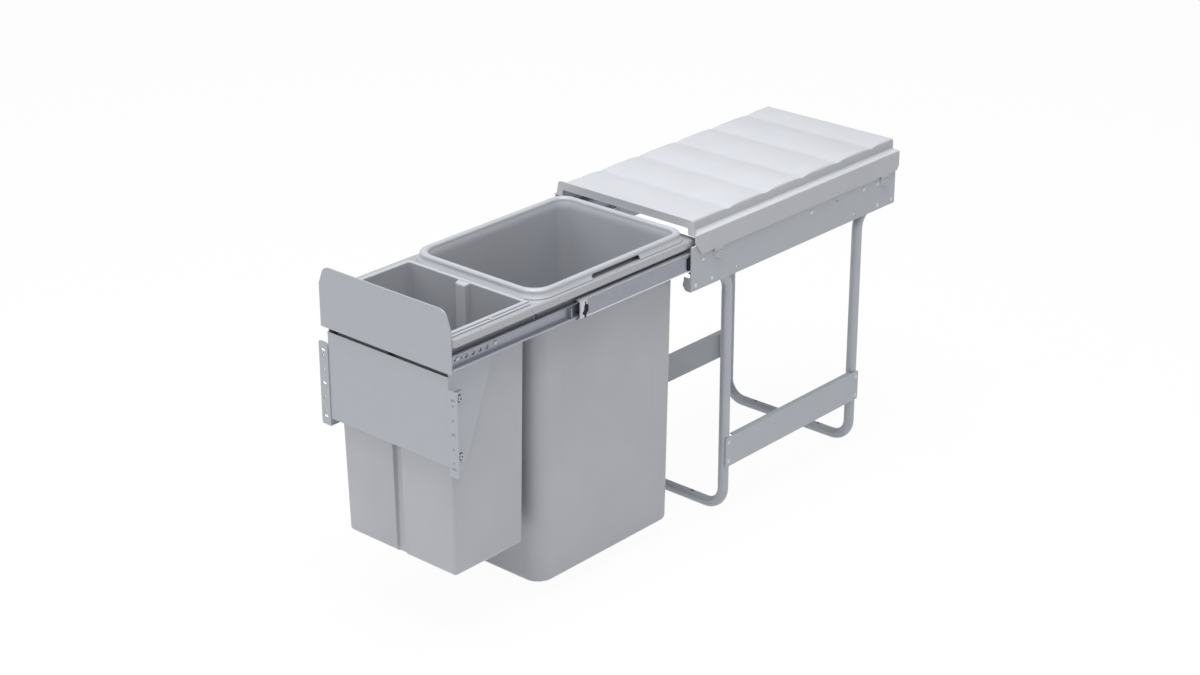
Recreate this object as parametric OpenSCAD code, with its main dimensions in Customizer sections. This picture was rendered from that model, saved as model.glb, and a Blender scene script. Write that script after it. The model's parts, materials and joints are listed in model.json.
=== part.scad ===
// Pull-out bin frame for a narrow base cabinet, shown pulled out.
// Origin: centre of the four floor screws, on the cabinet floor. +X right, +Y to the back, +Z up.

/* [Fixed frame] */
// Distance between the outer faces of the two side plates
frame_w = 250; // [235:1:265]
// Length of a side plate from front to back
plate_len = 467; // [455:1:490]
// Height of the side plates' lower edges above the floor
plate_bottom = 366; // [350:1:380]
// Height of a side plate
plate_h = 63; // [58:1:68]
// Thickness of the bent steel sheet
sheet_t = 1.5; // [1.2:0.1:1.8]
// Width of the turned-in flange at the front of a side plate
front_flange_w = 12.5; // [11:0.5:14]
// Height of that flange
front_flange_h = 19; // [16:0.5:20]
// Distance from a side plate's front edge to the front leg's centre line
leg_setback = 89; // [84:1:95]
// Distance from a side plate's back edge to the rear leg's centre line
rear_setback = 78; // [74:1:84]
// Outer diameter of the leg tubes
tube_d = 15; // [14:0.5:15]
// Wall of the leg tubes
tube_wall = 1.2; // [1:0.1:1.6]
// Radius of the tube bends, on the centre line
bend_r = 30; // [24:1:34]
// Diameter of the screw holes in the floor tubes
floor_hole_d = 5; // [4:0.5:6]
// Distance between the screw holes along a floor tube
floor_hole_pitch = 120; // [100:1:140]
// Height of the braces' lower edges above the floor
brace_bottom = 74; // [70:0.5:90]
// Height of a brace
brace_h = 45.5; // [40:0.5:55]
// Width of the braces' turned-in upper flange
brace_flange_w = 8; // [5:0.5:9]

/* [Lid] */
// Width of the ledge on each side of the raised part
lid_ledge_w = 12.2; // [11:0.1:12.6]
// Height of the ledge above the side plates
lid_ledge_rise = 16.7; // [16:0.1:19]
// Height of the raised part above the ledge
lid_crown_h = 16.6; // [15.5:0.1:20]
// Wall of the moulded lid
lid_wall = 2.2; // [1.8:0.1:2.6]
// Depth of the dips between the waves on top
lid_wave_depth = 3.5; // [2:0.5:4]
// Distance from one dip to the next
lid_wave_pitch = 82; // [70:1:95]

/* [Slides] */
// Height of the outer slide member
slide_h = 35; // [34:0.5:37]
// Thickness of the closed slide
slide_w = 12.7; // [12.5:0.1:13]
// Thickness of the slide steel
slide_t = 1.2; // [1:0.05:1.25]
// Diameter of the slide balls
ball_d = 3.5; // [3.2:0.1:3.6]
// Running gap between a ball and its race
ball_gap = 0.06; // [0.03:0.01:0.09]
// Distance between balls in a cage
ball_pitch = 20; // [15:1:30]
// Length of a ball cage
cage_len = 180; // [150:1:190]

/* [Carriage] */
// Height of the carrier frame's outer lip
carrier_lip_h = 10; // [8:0.5:10.5]
// Distance from the frame's outer face in to the edge of the handle panel
panel_inset = 8.2; // [6:0.2:11]
// Height of the handle panel
panel_h = 83.5; // [75:0.5:95]
// Thickness of the handle panel
panel_t = 2; // [1.5:0.1:2.5]
// Height of the door plate
door_plate_h = 122; // [110:1:124]

/* [Door brackets] */
// Height of a door bracket
bracket_h = 116.5; // [110:0.5:120]
// Reach of a bracket's front flange past the door plate
bracket_reach = 16.4; // [12:0.2:16.6]
// Depth of a bracket's side flange
bracket_depth = 26; // [24:0.5:30]
// Distance between the slots in the front flange
bracket_slot_pitch = 46.6; // [42:0.2:48]
// Diameter of the screw holes in the front flange
bracket_hole_d = 3.5; // [3:0.1:4]
// Distance between the inner pair of those holes
bracket_hole_pitch = 38.8; // [32:0.2:40]
// How far a bracket can be moved up or down from the middle of its slots
bracket_adjust = 3; // [2:0.5:4]

/* [Bins] */
// Wall of the bins
bin_wall = 2.2; // [1.8:0.1:2.6]
// Gap between the bins and the door plate's gussets
bin_side_gap = 4.5; // [4:0.1:8]
// How far the bins' side walls lean in from the rim to the floor
bin_taper = 5; // [3:0.5:8]
// Height of the large bin's floor above the cabinet floor
large_bottom = 21.5; // [19:0.5:30]
// Radius of the large bin's front upright edges
large_front_r = 25.5; // [20:0.5:34]
// Radius of the large bin's back upright edges
large_back_r = 17; // [14:1:30]
// Height of the large bin's rim above the carrier frame
large_rim_h = 12.2; // [11:0.2:13]
// Height of the small bin's floor above the cabinet floor
small_bottom = 99.8; // [80:1:130]
// Length of the small bin just under the rim
small_len = 133.5; // [130:0.5:134]
// Radius of the small bin's upright edges
small_corner_r = 5; // [5:0.5:8]
// Width of the upright channel in the middle of the small bin's front and back
channel_w = 16; // [12:1:24]
// Depth of that channel at the top
channel_d = 9; // [5:0.5:10]

/* [Hidden] */
fine = 48;
arc_steps = 6;
slip = 0.1;
seat_gap = 0.3;
hole_gap = 0.05;

// Fixed frame
leg_pitch = plate_len - leg_setback - rear_setback;
plate_front = -leg_pitch / 2 - leg_setback;
plate_back = plate_front + plate_len;
plate_top = plate_bottom + plate_h;
plate_x = frame_w / 2;
inner_x = plate_x - sheet_t;
tube_r = tube_d / 2;
leg_x = inner_x - tube_r;
leg_top = plate_bottom + tube_r;
front_run = leg_setback - 3;
rear_run = plate_back - leg_pitch / 2 - 3;
flange_corner_r = 6;
side_hole_d = 4;
side_hole_z = plate_bottom + 8.5;
side_holes = [-leg_pitch / 2 + 10, leg_pitch / 2 - 21];
sight_hole_r = 1.5;
sight_hole = plate_back - 142;
brace_over = 6.5;
brace_flange_end = 12;
brace_rivet_inset = 8;

// Rivets
rivet_r = 2;
rivet_head_r = 3.4;
rivet_head_h = 1.3;
rivet_tail_r = 2.9;
tube_hollow = tube_r - tube_wall;
tube_grip = sheet_t + tube_wall + slip + tube_hollow - sqrt(pow(tube_hollow, 2) - pow(rivet_tail_r, 2));
leg_rivets_front = [plate_front + 10, plate_front + 44.5];
leg_rivets_rear = [plate_back - 42.5, plate_back - 8.5];
slide_rivet_y = [plate_front + 25, plate_back - 202, plate_back - 77.6, plate_back - 43.5];

// Lances in the side plates that hold the lid's tabs
lance_y = [plate_front + 56, plate_back - 29];
lance_w = 11;
lance_h = 8;
lance_top = plate_top - 18;
lance_t = 1.3;

// Lid
lid_ledge_z = plate_top + lid_ledge_rise;
lid_top = lid_ledge_z + lid_crown_h;
lid_skirt_z = plate_top - 11.5;
lid_front = plate_front + 7;
lid_first_crest = lid_front + 42;
lid_back = plate_back + 4.6;
lid_back_round = 5;
lid_side_x = plate_x + seat_gap + lid_wall;
lid_crown_x = lid_side_x - lid_ledge_w;
lid_hem = 9;
lid_round = 4;
lid_cut = 16.5;
lid_cut_in = 12;
tab_w = lance_w - 1;
tab_shoulder = 3.5;
tab_drop = 11;

// Slide sections: u runs inwards from the side plate, v up from the slide's centre line
slide_z = plate_bottom + 41;
ball_r = ball_d / 2;
race = ball_r + ball_gap + slide_t / 2;
web_gap = 0.8;
mid_web_u = slide_t + web_gap + slide_t / 2;
row_a = [mid_web_u + race * cos(45), slide_h / 2 - race - slide_t / 2];
row_slope = -42.5;
row_b = row_a + (2 * race + ball_gap) * [cos(row_slope), sin(row_slope)];
inner_web_u = slide_w - slide_t / 2;
knee = 1;
mid_fold = 0.9;
inner_shelf = row_b[1] - race * sin(75);
cage_t = 0.6;
cage_narrow = 1.55;
cage_wide = 2.5;

// Places of the slide members along Y, with the bins pulled out
slide_inset = 4;
slide_len = plate_len - slide_inset - 13;
travel = slide_len - 10;
outer_front = plate_front + slide_inset;
inner_front = plate_front - travel - 0.8;
mid_len = slide_len - 8;
mid_front = plate_front - travel / 2 + 3;
outer_cage_front = plate_front + 10;
inner_cage_front = inner_front + slide_len - 19 - cage_len;
stop_tab_y = mid_front - 12;
catch_len = 10;
catch_setback = 3;
catch_h = 17;
bumper_out = 5;
bumper_tongue = 9;
bumper_h = 16.5;

// Carriage
panel_bottom = slide_z - 15.3;
panel_front = plate_front - travel - 3.2;
panel_back = panel_front + panel_t;
carrier_front = panel_back + slip;
carrier_back = plate_front + 19;
carrier_len = carrier_back - carrier_front;
carrier_mid = (carrier_front + carrier_back) / 2;
carrier_t = 1.5;
carrier_round = 3;
carrier_corner_r = 6;
carrier_w = 2 * (inner_x - 3.5);
carrier_top = slide_z + 30.8;
carrier_rib_out = inner_x - slide_w - slip;
carrier_rib_bottom = slide_z - 9;
carrier_rib_t = 3.1;
gusset_x = carrier_rib_out - carrier_rib_t - slip;
bin_top_w = 2 * (gusset_x - bin_side_gap);
bin_room = 1.8;
opening_x = bin_top_w / 2 + bin_room;
rib_break = 6;
carrier_rivet_z = slide_z + 0.5;
carrier_rivets_back = [carrier_front + 240, carrier_back - 50];
front_rail = 6.5;
middle_rail = 16.2;
back_rail = 20.7;
divider_half = 50;
divider_flare = 5;
divider_front = 2.8;
divider_back = 8.5;

// Door plate and its brackets
door_front = panel_front + 2.4;
door_top = panel_bottom - 6;
door_plate_bottom = door_top - door_plate_h;
gusset_top = slide_z + 10;
gusset_foot = 29;
gusset_head = 92;
door_rivets = [door_front + 13.5, door_front + 79.5];
bracket_front = panel_front + 0.9;
bracket_in = gusset_x + slip;
bracket_side = bracket_in + sheet_t;
bracket_edge = gusset_x + bracket_reach;
bracket_side_h = bracket_h - 7.5;
bracket_z = door_plate_bottom + door_plate_h / 2 - 13;
bracket_round = 6;
bolt_r = 2.5;
bolt_y = bracket_front + 19;
bolt_z = [bracket_z - 38, bracket_z + 41];
bolt_head_r = 3.6;
bolt_head_h = 2.6;
bolt_socket_r = 1.9;
bolt_end = 0.4;
nut_h = 2.7;
nut_r = 4.6;
slot_h = 4;
slot_len = 8;

// Panel studs
stud_r = 2.5;
stud_len = 6;
stud_x = [-80, 80];
stud_z = [carrier_rib_bottom + 10, carrier_rib_bottom + 25];

// Bins
rim_seat = carrier_top + seat_gap;
large_rim_top = carrier_top + large_rim_h;
large_skirt_t = 2;
large_skirt_gap = 7;
large_round = 4.2;
large_flare = 2;
large_neck = 6;
foot_r = 7;
grip_w = 93;
grip_h = 6.6;
grip_r = 4;
grip_shift = 3;
small_front_edge = carrier_front + front_rail;
small_clear = 2.3;
small_mid = small_front_edge + small_clear + small_len / 2;
small_back_edge = small_mid + small_len / 2 + small_clear;
large_front_edge = small_back_edge + middle_rail;
large_back_edge = carrier_back - back_rail;
large_mid = (large_front_edge + large_back_edge) / 2;
large_len = large_back_edge - large_front_edge - 2 * bin_room;
small_rim = 4;
small_rim_end = 4.6;
small_flange = 8.5;
small_flange_t = 1.3;
small_rim_h = 3.1;
small_draft_len = 4.8;
channel_foot = 4;
nub_r = 2.4;
nub_h = 0.9;

function unit(v) = v / norm(v);
function across(v) = [-v[1], v[0]];
function flip(list) = [for (i = [len(list) - 1:-1:0]) list[i]];
function arc(centre, r, from, to, steps = arc_steps) =
    [for (i = [0:steps]) let (a = from + (to - from) * i / steps) centre + r * [cos(a), sin(a)]];

// Outline of a rectangle with its back and front corners rounded, anticlockwise
function bin_rect(w, l, back, front) = concat(
    arc([w / 2 - back, l / 2 - back], back, 0, 90),
    arc([back - w / 2, l / 2 - back], back, 90, 180),
    arc([front - w / 2, front - l / 2], front, 180, 270),
    arc([w / 2 - front, front - l / 2], front, 270, 360));
function round_rect(w, l, r) = bin_rect(w, l, r, r);

// One edge of a bent sheet whose middle line is path
function sheet_edge(path, offset) = [
    for (i = [0:len(path) - 1])
    let (
        before = unit(path[max(i, 1)] - path[max(i, 1) - 1]),
        after = unit(path[min(i + 1, len(path) - 1)] - path[min(i, len(path) - 2)]),
        normal = unit(across(before) + across(after)))
    path[i] + normal * offset / (normal * across(before))];
function sheet(path, t) = concat(sheet_edge(path, t / 2), flip(sheet_edge(path, -t / 2)));

// A section drawn for its upper half only, from its middle point upwards
function with_mirror(half) = concat(
    [for (i = [len(half) - 1:-1:1]) [half[i][0], -half[i][1]]], half);

module on_side(side) {
    if (side > 0) children();
    else mirror([1, 0, 0]) children();
}

// A drawing of X and Z, drawn out along Y
module along_y(from, length) {
    translate([0, from + length, 0]) rotate([90, 0, 0]) linear_extrude(length) children();
}

// A drawing of Y and Z, drawn out along X
module along_x(from, length) {
    translate([from, 0, 0]) rotate([90, 0, 90]) linear_extrude(length) children();
}

// A round bar or hole along X
module bar_x(from, length, r, y, z) {
    translate([from, y, z]) rotate([0, 90, 0]) cylinder(h = length, r = r, $fn = fine);
}

// A round bar or hole along Y
module bar_y(from, length, r, x, z) {
    translate([x, from + length, z]) rotate([90, 0, 0]) cylinder(h = length, r = r, $fn = fine);
}

// Rivet along X with its head outside; it grips back from x and ends in a spread tail
module rivet(x, y, z, grip, tail_r, tail_h) {
    outline = concat(
        [[0, -grip - tail_h], [tail_r * 0.8, -grip - tail_h], [tail_r, -grip - tail_h / 2],
         [tail_r, -grip], [rivet_r, -grip], [rivet_r, 0], [rivet_head_r, 0]],
        [for (a = [20:20:80]) [rivet_head_r * cos(a), rivet_head_h * sin(a)]],
        [[0, rivet_head_h]]);
    translate([x, y, z]) rotate([0, 90, 0]) rotate_extrude($fn = fine) polygon(outline);
}

// Fixed frame
module side_plate(side) {
    color("LightSteelBlue") on_side(side) difference() {
        union() {
            along_x(inner_x, sheet_t) translate([plate_front, plate_bottom]) square([plate_len, plate_h]);
            along_y(plate_front, sheet_t) polygon(concat(
                [[inner_x + sheet_t / 2, plate_bottom], [inner_x + sheet_t / 2, plate_bottom + front_flange_h]],
                [[plate_x - front_flange_w, plate_bottom + front_flange_h]],
                arc([plate_x - front_flange_w + flange_corner_r, plate_bottom + flange_corner_r],
                    flange_corner_r, 180, 270)));
            for (y = lance_y) lance(y);
        }
        for (y = lance_y) translate([inner_x - 1, y - lance_w / 2, lance_top - lance_h])
            cube([sheet_t + 2, lance_w, lance_h]);
        for (y = concat(leg_rivets_front, leg_rivets_rear))
            bar_x(inner_x - 1, sheet_t + 2, rivet_r + hole_gap, y, leg_top);
        for (y = slide_rivet_y) bar_x(inner_x - 1, sheet_t + 2, rivet_r + hole_gap, y, slide_z);
        for (y = side_holes) bar_x(inner_x - 1, sheet_t + 2, side_hole_d / 2, y, side_hole_z);
        bar_x(inner_x - 1, sheet_t + 2, sight_hole_r, sight_hole, slide_z);
    }
}

// Pressed-out strap that a tab of the lid drops through
module lance(y) {
    out = lid_side_x + seat_gap;
    translate([0, y, lance_top - lance_h]) linear_extrude(lance_h) polygon(sheet([
        [plate_x - sheet_t / 2, -lance_w / 2 - 3],
        [plate_x, -lance_w / 2 - 2],
        [out + lance_t / 2, -lance_w / 2 + 0.3],
        [out + lance_t / 2, lance_w / 2 - 0.3],
        [plate_x, lance_w / 2 + 2],
        [plate_x - sheet_t / 2, lance_w / 2 + 3]], lance_t));
}

module tube_section() {
    difference() {
        circle(d = tube_d, $fn = fine);
        circle(d = tube_d - 2 * tube_wall, $fn = fine);
    }
}

module tube_bend() {
    rotate_extrude(angle = 90, $fn = 2 * fine) translate([bend_r, 0]) tube_section();
}

// One bent tube: a floor bar, two legs and two runs under the side plates towards -Y
module leg_frame(run, rivets) {
    floor_x = leg_x - bend_r;
    difference() {
        union() {
            translate([-floor_x, 0, tube_r]) rotate([90, 0, 90]) linear_extrude(2 * floor_x) tube_section();
            for (side = [-1, 1]) on_side(side) {
                translate([floor_x, 0, tube_r + bend_r]) rotate([90, 0, 0]) rotate([0, 0, -90]) tube_bend();
                translate([leg_x, 0, tube_r + bend_r]) linear_extrude(leg_top - tube_r - 2 * bend_r)
                    tube_section();
                translate([leg_x, -bend_r, leg_top - bend_r]) rotate([90, 0, 90]) tube_bend();
                translate([leg_x, -bend_r, leg_top]) rotate([90, 0, 0]) linear_extrude(run - bend_r)
                    tube_section();
            }
        }
        for (x = [-1, 1] * floor_hole_pitch / 2)
            translate([x, 0, -1]) cylinder(h = tube_d + 2, d = floor_hole_d, $fn = fine);
        for (side = [-1, 1]) on_side(side) {
            for (y = rivets) bar_x(leg_x, tube_d, rivet_r + hole_gap, y, leg_top);
            for (z = brace_rivet_z()) bar_x(leg_x, tube_d, rivet_r + hole_gap, 0, z);
        }
    }
}

function brace_rivet_z() = [brace_bottom + brace_rivet_inset, brace_bottom + brace_h - brace_rivet_inset];

module front_leg_tube() {
    color("Silver") translate([0, -leg_pitch / 2, 0])
        leg_frame(front_run, [for (y = leg_rivets_front) y + leg_pitch / 2]);
}

module rear_leg_tube() {
    color("Silver") translate([0, leg_pitch / 2, 0]) mirror([0, 1, 0])
        leg_frame(rear_run, [for (y = leg_rivets_rear) leg_pitch / 2 - y]);
}

module brace(side) {
    top = brace_bottom + brace_h;
    length = leg_pitch + 2 * brace_over;
    flange_len = leg_pitch - 2 * brace_flange_end;
    color("LightSteelBlue") on_side(side) difference() {
        union() {
            along_x(inner_x, sheet_t) translate([0, brace_bottom + brace_h / 2])
                polygon(round_rect(length, brace_h, 3));
            along_y(-flange_len / 2, flange_len) polygon(sheet(concat(
                [[inner_x + sheet_t / 2, top - 6]],
                arc([plate_x - 2.5, top - 2.5], 2.5 - sheet_t / 2, 0, 90),
                [[plate_x - brace_flange_w, top - sheet_t / 2]]), sheet_t));
        }
        for (y = [-1, 1] * leg_pitch / 2) for (z = brace_rivet_z())
            bar_x(inner_x - 1, sheet_t + 2, rivet_r + hole_gap, y, z);
    }
}

module leg_rivets() {
    color("Gainsboro") for (side = [-1, 1]) on_side(side)
        for (y = concat(leg_rivets_front, leg_rivets_rear))
            rivet(plate_x + slip / 2, y, leg_top, tube_grip, rivet_tail_r, 2.5);
}

module brace_rivets() {
    color("Gainsboro") for (side = [-1, 1]) on_side(side)
        for (y = [-1, 1] * leg_pitch / 2) for (z = brace_rivet_z())
            rivet(plate_x + slip / 2, y, z, tube_grip, rivet_tail_r, 2.5);
}

// Slides
module slide_section(half) {
    translate([inner_x, slide_z]) mirror([1, 0]) polygon(sheet(with_mirror(half), slide_t));
}

outer_half = concat(
    [[slide_t / 2, 0], [slide_t / 2, row_a[1] - race * 0.8]],
    arc(row_a, race, 175, 25));
mid_half = concat(
    [[mid_web_u, 0], [mid_web_u, row_a[1] - race - mid_fold]],
    arc(row_a, race, 265, 360 + row_slope),
    arc(row_b, race, 180 + row_slope, 10));
inner_half = concat(
    [[inner_web_u, 0], [inner_web_u, inner_shelf - knee], [inner_web_u - knee, inner_shelf]],
    arc(row_b, race, 285, 200));

module slide_outer(side) {
    color("LightSlateGray") on_side(side) difference() {
        along_y(outer_front, slide_len) slide_section(outer_half);
        for (y = slide_rivet_y) bar_x(inner_x - slide_t - 1, slide_t + 2, rivet_r + hole_gap, y, slide_z);
    }
}

module slide_rivets() {
    color("Gainsboro") for (side = [-1, 1]) on_side(side) for (y = slide_rivet_y)
        rivet(plate_x + slip / 2, y, slide_z, sheet_t + slide_t + slip, rivet_tail_r, 0.4);
}

module slide_mid(side) {
    color("SlateGray") on_side(side) difference() {
        along_y(mid_front, mid_len) slide_section(mid_half);
        translate([inner_x - mid_web_u - slide_t, mid_front + catch_setback, slide_z - catch_h / 2])
            cube([2 * slide_t, catch_len, catch_h]);
    }
}

// Black plastic catch that sits in the window at the front of the middle member
module mid_catch(side) {
    u_in = mid_web_u + 2.6;
    u_out = mid_web_u - slide_t / 2;
    y = mid_front + catch_setback + slip;
    color("DimGray") on_side(side) along_x(inner_x - u_in, u_in - u_out)
        translate([y, slide_z]) polygon(concat(
            [[0, 1 - catch_h / 2], [catch_len * 0.45, 1 - catch_h / 2], [catch_len * 0.45, -2]],
            [[catch_len - 2 * slip, -1], [catch_len - 2 * slip, 4], [catch_len * 0.6, 4.5]],
            arc([catch_len * 0.4, catch_h / 2 - 2.2], 2, 0, 180),
            [[0, 3]]));
}

module slide_inner(side) {
    holes = [for (i = [0:3]) inner_front + 28 + 12 * i];
    small_holes = [inner_front + 8.5, inner_front + 20];
    color("SlateGray") on_side(side) difference() {
        union() {
            along_y(inner_front, slide_len) slide_section(inner_half);
            translate([inner_x - inner_web_u, stop_tab_y, slide_z - 7])
                cube([inner_web_u - mid_web_u - 3, sheet_t, 14]);
        }
        for (y = holes) bar_x(inner_x - slide_w - 1, slide_t + 2, 3, y, slide_z);
        for (y = small_holes) bar_x(inner_x - slide_w - 1, slide_t + 2, 1.2, y, slide_z);
        for (y = concat(door_rivets, carrier_rivets_back))
            bar_x(inner_x - slide_w - 1, slide_t + 2, rivet_r + hole_gap, y, carrier_rivet_z);
    }
}

module slide_bumpers() {
    color("DimGray") for (side = [-1, 1]) on_side(side)
        translate([inner_x, plate_front, slide_z - bumper_h / 2]) {
            translate([slip - slide_t - web_gap, -bumper_out, 0])
                cube([slide_t + web_gap - 2 * slip, bumper_out + slide_inset - slip, bumper_h]);
            translate([slip - slide_t - web_gap, 0, 0])
                cube([web_gap - 2 * slip, bumper_tongue, bumper_h]);
        }
}

function ball_places(front) = [
    for (i = [0:floor((cage_len - ball_pitch) / ball_pitch)]) front + ball_pitch / 2 + i * ball_pitch];

// Two strips with pockets, one for each row of balls
module ball_cage(side, row, inwards, front) {
    color("WhiteSmoke") on_side(side) for (v = [-1, 1]) difference() {
        translate([inner_x - row[0] - inwards, front, slide_z + v * row[1] - cage_t / 2])
            cube([cage_narrow + cage_wide, cage_len, cage_t]);
        for (y = ball_places(front)) translate([inner_x - row[0], y, slide_z + v * row[1] - cage_t])
            cylinder(h = 2 * cage_t, r = ball_r + slip, $fn = fine);
    }
}

module balls(side, row, front) {
    color("Gainsboro") on_side(side) for (v = [-1, 1]) for (y = ball_places(front))
        translate([inner_x - row[0], y, slide_z + v * row[1]]) sphere(r = ball_r, $fn = fine);
}

// Lid
function wave_height(y) =
    let (s = max(y - lid_first_crest, 0) / lid_wave_pitch + 0.5, part = s - floor(s))
    lid_top - lid_wave_depth * pow(2 * part - 1, 2);

// Side view of everything under the waves, lowered by drop, with a rounded corner at the back
function wave_outline(drop, front, back) =
    let (r = lid_back_round - drop, bend = back - r)
    concat([[front, lid_top - drop]],
           [for (y = [lid_first_crest:lid_wave_pitch / 10:bend - 1]) [y, wave_height(y) - drop]],
           [[bend, wave_height(bend) - drop]],
           arc([bend, wave_height(bend) - drop - r], r, 75, 0),
           [[back, lid_skirt_z - tab_drop - 10], [front, lid_skirt_z - tab_drop - 10]]);

// Front view of the lid, drawn in by its wall or its hem
function hat_outline(side_in, top_in, ledge_in, skirt_in) =
    let (
        crown = lid_crown_x - side_in,
        top = lid_top - top_in,
        ledge = lid_ledge_z - ledge_in,
        skirt = lid_side_x - skirt_in,
        r = max(lid_round - side_in, 0.5),
        right = concat(
            [[skirt, lid_skirt_z - 1], [skirt, ledge - 1.5], [skirt - 0.6, ledge - 0.5], [skirt - 1.6, ledge]],
            [[crown + 2, ledge], [crown, ledge + 2]],
            arc([crown - r, top - r], r, 0, 90)))
    concat(right, [for (p = flip(right)) [-p[0], p[1]]]);

module lid_solid(wall, front, back) {
    intersection() {
        along_y(front, back - front) polygon(hat_outline(wall, 0, wall, wall));
        along_x(-frame_w, 2 * frame_w) polygon(wave_outline(wall, front, back));
    }
}

module lid_cover() {
    color("White") difference() {
        union() {
            difference() {
                lid_solid(0, lid_front, lid_back);
                lid_solid(lid_wall, lid_front - 1, lid_back - lid_wall);
                translate([-lid_side_x + lid_wall, lid_front - 1, lid_skirt_z - 2])
                    cube([2 * (lid_side_x - lid_wall), lid_back - lid_wall - lid_front + 1, 3]);
            }
            intersection() {
                along_y(lid_front, lid_wall) difference() {
                    polygon(hat_outline(0, 0, 0, 0));
                    polygon(hat_outline(lid_wall, lid_hem, lid_wall, lid_wall));
                    translate([-frame_w, 0]) square([2 * frame_w, lid_ledge_z - lid_wall]);
                }
                along_x(-frame_w, 2 * frame_w) polygon(wave_outline(0, lid_front, lid_back));
            }
            for (side = [-1, 1]) on_side(side) for (y = lance_y) lid_tab(y);
        }
        // Slanted lower front corners of the skirts
        along_x(-frame_w, 2 * frame_w) polygon([
            [lid_front - 1, lid_skirt_z - 2], [lid_front + lid_cut_in, lid_skirt_z - 2],
            [lid_front + lid_cut_in, lid_skirt_z], [lid_front, lid_skirt_z + lid_cut],
            [lid_front - 1, lid_skirt_z + lid_cut]]);
        along_x(-frame_w, 2 * frame_w) polygon([
            [lid_back + 1, lid_skirt_z - 2], [lid_back - 4, lid_skirt_z - 2],
            [lid_back - 4, lid_skirt_z], [lid_back, lid_skirt_z + 5], [lid_back + 1, lid_skirt_z + 5]]);
        // The back wall ends above the side plates
        translate([-lid_side_x + lid_wall, lid_back - lid_wall - 1, lid_skirt_z - 3])
            cube([2 * (lid_side_x - lid_wall), lid_wall + 2, plate_top - lid_skirt_z]);
    }
}

// Tab with two shoulders that rest on a lance
module lid_tab(y) {
    low = lance_top + seat_gap;
    along_x(lid_side_x - lid_wall, lid_wall) translate([y, 0]) polygon([
        [-tab_w / 2 - tab_shoulder, lid_skirt_z + 1], [-tab_w / 2 - tab_shoulder, low],
        [-tab_w / 2 + 0.5, low], [-tab_w / 2 + 0.5, low - tab_drop + 2],
        [-tab_w / 2 + 2.5, low - tab_drop], [tab_w / 2 - 2.5, low - tab_drop],
        [tab_w / 2 - 0.5, low - tab_drop + 2], [tab_w / 2 - 0.5, low],
        [tab_w / 2 + tab_shoulder, low], [tab_w / 2 + tab_shoulder, lid_skirt_z + 1]]);
}

// Carrier frame
module carrier_solid(inset, bottom) {
    w = carrier_w - 2 * inset;
    l = carrier_len - 2 * inset;
    top = carrier_top - inset;
    r = carrier_round - inset;
    intersection() {
        translate([0, carrier_mid, bottom]) linear_extrude(top - bottom)
            polygon(round_rect(w, l, carrier_corner_r - inset));
        along_y(carrier_mid - l, 2 * l) translate([0, top - 50]) polygon(concat(
            [[w / 2, -50]], arc([w / 2 - r, 50 - r], r, 0, 90), arc([r - w / 2, 50 - r], r, 90, 180),
            [[-w / 2, -50]]));
        along_x(-w, 2 * w) translate([carrier_mid, top - 50]) polygon(concat(
            [[l / 2, -50]], arc([l / 2 - r, 50 - r], r, 0, 90), arc([r - l / 2, 50 - r], r, 90, 180),
            [[-l / 2, -50]]));
    }
}

module carrier_opening(from, to) {
    translate([-opening_x, from, carrier_top - 20]) cube([2 * opening_x, to - from, 30]);
}

module carrier_frame() {
    rib_in = gusset_x + slip;
    bar_mid = (small_back_edge + large_front_edge) / 2;
    color("Silver") difference() {
        union() {
            difference() {
                carrier_solid(0, carrier_top - carrier_lip_h);
                carrier_solid(carrier_t, carrier_top - carrier_lip_h - 1);
                carrier_opening(small_front_edge, small_back_edge);
                carrier_opening(large_front_edge, large_back_edge);
            }
            // Ribs that are riveted to the slides
            for (side = [-1, 1]) on_side(side) for (span = [
                [carrier_front + carrier_t, bar_mid - rib_break / 2],
                [bar_mid + rib_break / 2, carrier_back - carrier_t]])
                translate([rib_in, span[0], carrier_rib_bottom])
                    cube([carrier_rib_t, span[1] - span[0], carrier_top - carrier_t / 2 - carrier_rib_bottom]);
            // Deep front wall that carries the handle panel
            translate([-opening_x, carrier_front, carrier_rib_bottom])
                cube([2 * opening_x, carrier_t, carrier_top - carrier_t / 2 - carrier_rib_bottom]);
        }
        translate([0, 0, carrier_top - 10]) linear_extrude(20) polygon([
            [-divider_half, small_back_edge + divider_front],
            [divider_half, small_back_edge + divider_front],
            [divider_half + divider_flare, small_back_edge + divider_back],
            [-divider_half - divider_flare, small_back_edge + divider_back]]);
        for (side = [-1, 1]) on_side(side) for (y = concat(door_rivets, carrier_rivets_back))
            bar_x(rib_in - 1, carrier_rib_t + 2, rivet_r + hole_gap, y, carrier_rivet_z);
        for (x = stud_x) for (z = stud_z)
            bar_y(carrier_front - 1, carrier_t + 2, stud_r + hole_gap, x, z);
    }
}

// The front two on each side also pass through the door plate's gussets
module carrier_rivets() {
    head_x = carrier_rib_out + slide_t + slip;
    color("Gainsboro") for (side = [-1, 1]) on_side(side) {
        for (y = door_rivets)
            rivet(head_x + slip / 2, y, carrier_rivet_z,
                  head_x - gusset_x + sheet_t + slip, rivet_tail_r, 0.8);
        for (y = carrier_rivets_back)
            rivet(head_x + slip / 2, y, carrier_rivet_z, head_x - gusset_x, rivet_tail_r, 0.8);
    }
}

module handle_panel() {
    top = panel_bottom + panel_h;
    half = plate_x - panel_inset;
    right = concat(
        [[half - 1, panel_bottom], [half, panel_bottom + 1], [half, top - 25]],
        arc([half - 19, top - 14], 14, 15, 90));
    color("LightSteelBlue") union() {
        along_y(panel_front, panel_t)
            polygon(concat(right, [for (p = flip(right)) [-p[0], p[1]]]));
        for (x = stud_x) for (z = stud_z) bar_y(panel_back - 0.5, stud_len + 0.5, stud_r, x, z);
    }
}

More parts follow.
